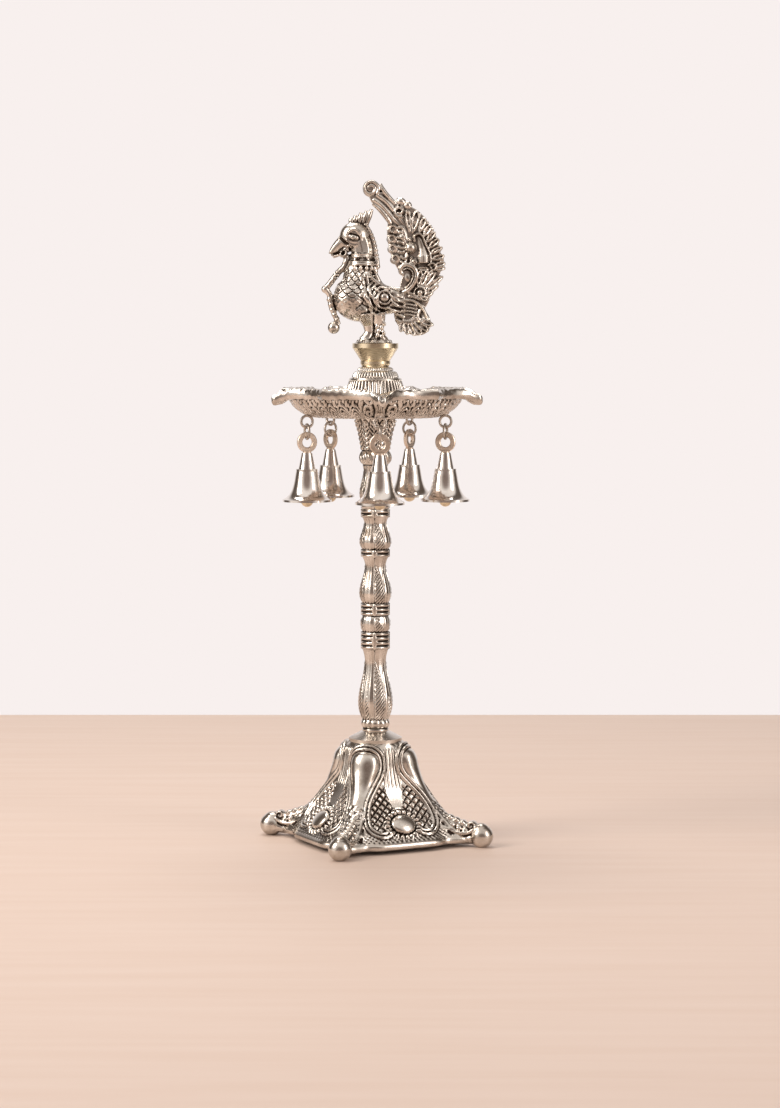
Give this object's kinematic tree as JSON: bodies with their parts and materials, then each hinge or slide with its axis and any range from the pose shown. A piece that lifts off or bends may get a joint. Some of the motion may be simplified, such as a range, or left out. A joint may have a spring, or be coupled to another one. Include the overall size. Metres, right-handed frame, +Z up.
{
  "type": "aarti lamp",
  "caption": "Footed aarti lamp with a square relief base, baluster stem, oil dish with pinched wick spouts, hanging bells and a peacock finial.",
  "frame": {"origin": "centre of the base on the floor, on the axis of the stem", "axes": "+Z up along the stem, +X to the right of the picture (the bird looks along -X), +Y away from the camera"},
  "size_m": [0.1246, 0.1246, 0.3502],
  "materials": {
    "cast_silver": "cast, silvered and darkened, with the high places polished bright and a brown black patina in the recesses",
    "polished_nickel": "turned and polished nickel plate",
    "dull_brass": "turned dull brass with a brown tone",
    "steel": "plated wire and plain steel hardware"
  },
  "bodies": {
    "stand": {"base": "cast_silver", "base_washer": "steel", "base_nut": "steel", "tie_rod": "steel", "flange_disc": "cast_silver", "lower_stem": "cast_silver", "upper_stem": "cast_silver", "dish": "cast_silver", "ribbed_cone": "cast_silver", "finial_cup": "dull_brass", "peacock": "cast_silver", "tail_fan": "cast_silver", "eyelet_front": "steel", "eyelet_right": "steel", "eyelet_back_right": "steel", "eyelet_back_left": "steel", "eyelet_left": "steel"},
    "link_front": {"link_front": "steel"},
    "bell_front": {"bell_eye_front": "dull_brass", "bell_front": "polished_nickel"},
    "clapper_front": {"clapper_front": "dull_brass"},
    "link_right": {"link_right": "steel"},
    "bell_right": {"bell_eye_right": "dull_brass", "bell_right": "polished_nickel"},
    "clapper_right": {"clapper_right": "dull_brass"},
    "link_back_right": {"link_back_right": "steel"},
    "bell_back_right": {"bell_eye_back_right": "dull_brass", "bell_back_right": "polished_nickel"},
    "clapper_back_right": {"clapper_back_right": "dull_brass"},
    "link_back_left": {"link_back_left": "steel"},
    "bell_back_left": {"bell_eye_back_left": "dull_brass", "bell_back_left": "polished_nickel"},
    "clapper_back_left": {"clapper_back_left": "dull_brass"},
    "link_left": {"link_left": "steel"},
    "bell_left": {"bell_eye_left": "dull_brass", "bell_left": "polished_nickel"},
    "clapper_left": {"clapper_left": "dull_brass"}
  },
  "joints": [
    {"name": "link_swing_front", "type": "hinge", "parent": "stand", "child": "link_front", "pos_m": [0.00232, -0.03793, 0.2211], "axis": [-0.9981, -0.061, 0], "range_deg": [-18, 30]},
    {"name": "bell_swing_front", "type": "hinge", "parent": "link_front", "child": "bell_front", "pos_m": [0.00232, -0.03793, 0.21515], "axis": [0.061, -0.9981, 0], "range_deg": [-18, 18]},
    {"name": "clapper_swing_front", "type": "hinge", "parent": "bell_front", "child": "clapper_front", "pos_m": [0.00232, -0.03793, 0.19805], "axis": [-0.9981, -0.061, 0], "range_deg": [-18, 18]},
    {"name": "link_swing_right", "type": "hinge", "parent": "stand", "child": "link_right", "pos_m": [0.03679, -0.00951, 0.2211], "axis": [0.9681, -0.2504, 0], "range_deg": [-18, 18]},
    {"name": "bell_swing_right", "type": "hinge", "parent": "link_right", "child": "bell_right", "pos_m": [0.03679, -0.00951, 0.21515], "axis": [-0.2504, -0.9681, 0], "range_deg": [-18, 30]},
    {"name": "clapper_swing_right", "type": "hinge", "parent": "bell_right", "child": "clapper_right", "pos_m": [0.03679, -0.00951, 0.19805], "axis": [0.9681, -0.2504, 0], "range_deg": [-18, 18]},
    {"name": "link_swing_back_right", "type": "hinge", "parent": "stand", "child": "link_back_right", "pos_m": [0.01842, 0.03324, 0.2211], "axis": [0.4848, 0.8746, 0], "range_deg": [-18, 18]},
    {"name": "bell_swing_back_right", "type": "hinge", "parent": "link_back_right", "child": "bell_back_right", "pos_m": [0.01842, 0.03324, 0.21515], "axis": [0.8746, -0.4848, 0], "range_deg": [-18, 30]},
    {"name": "clapper_swing_back_right", "type": "hinge", "parent": "bell_back_right", "child": "clapper_back_right", "pos_m": [0.01842, 0.03324, 0.19805], "axis": [0.4848, 0.8746, 0], "range_deg": [-18, 18]},
    {"name": "link_swing_back_left", "type": "hinge", "parent": "stand", "child": "link_back_left", "pos_m": [-0.02417, 0.02932, 0.2211], "axis": [-0.6361, 0.7716, 0], "range_deg": [-18, 18]},
    {"name": "bell_swing_back_left", "type": "hinge", "parent": "link_back_left", "child": "bell_back_left", "pos_m": [-0.02417, 0.02932, 0.21515], "axis": [0.7716, 0.6361, 0], "range_deg": [-18, 30]},
    {"name": "clapper_swing_back_left", "type": "hinge", "parent": "bell_back_left", "child": "clapper_back_left", "pos_m": [-0.02417, 0.02932, 0.19805], "axis": [-0.6361, 0.7716, 0], "range_deg": [-18, 18]},
    {"name": "link_swing_left", "type": "hinge", "parent": "stand", "child": "link_left", "pos_m": [-0.03582, -0.01269, 0.2211], "axis": [-0.9426, -0.3338, 0], "range_deg": [-18, 18]},
    {"name": "bell_swing_left", "type": "hinge", "parent": "link_left", "child": "bell_left", "pos_m": [-0.03582, -0.01269, 0.21515], "axis": [-0.3338, 0.9426, 0], "range_deg": [-18, 30]},
    {"name": "clapper_swing_left", "type": "hinge", "parent": "bell_left", "child": "clapper_left", "pos_m": [-0.03582, -0.01269, 0.19805], "axis": [-0.9426, -0.3338, 0], "range_deg": [-18, 18]}
  ]
}
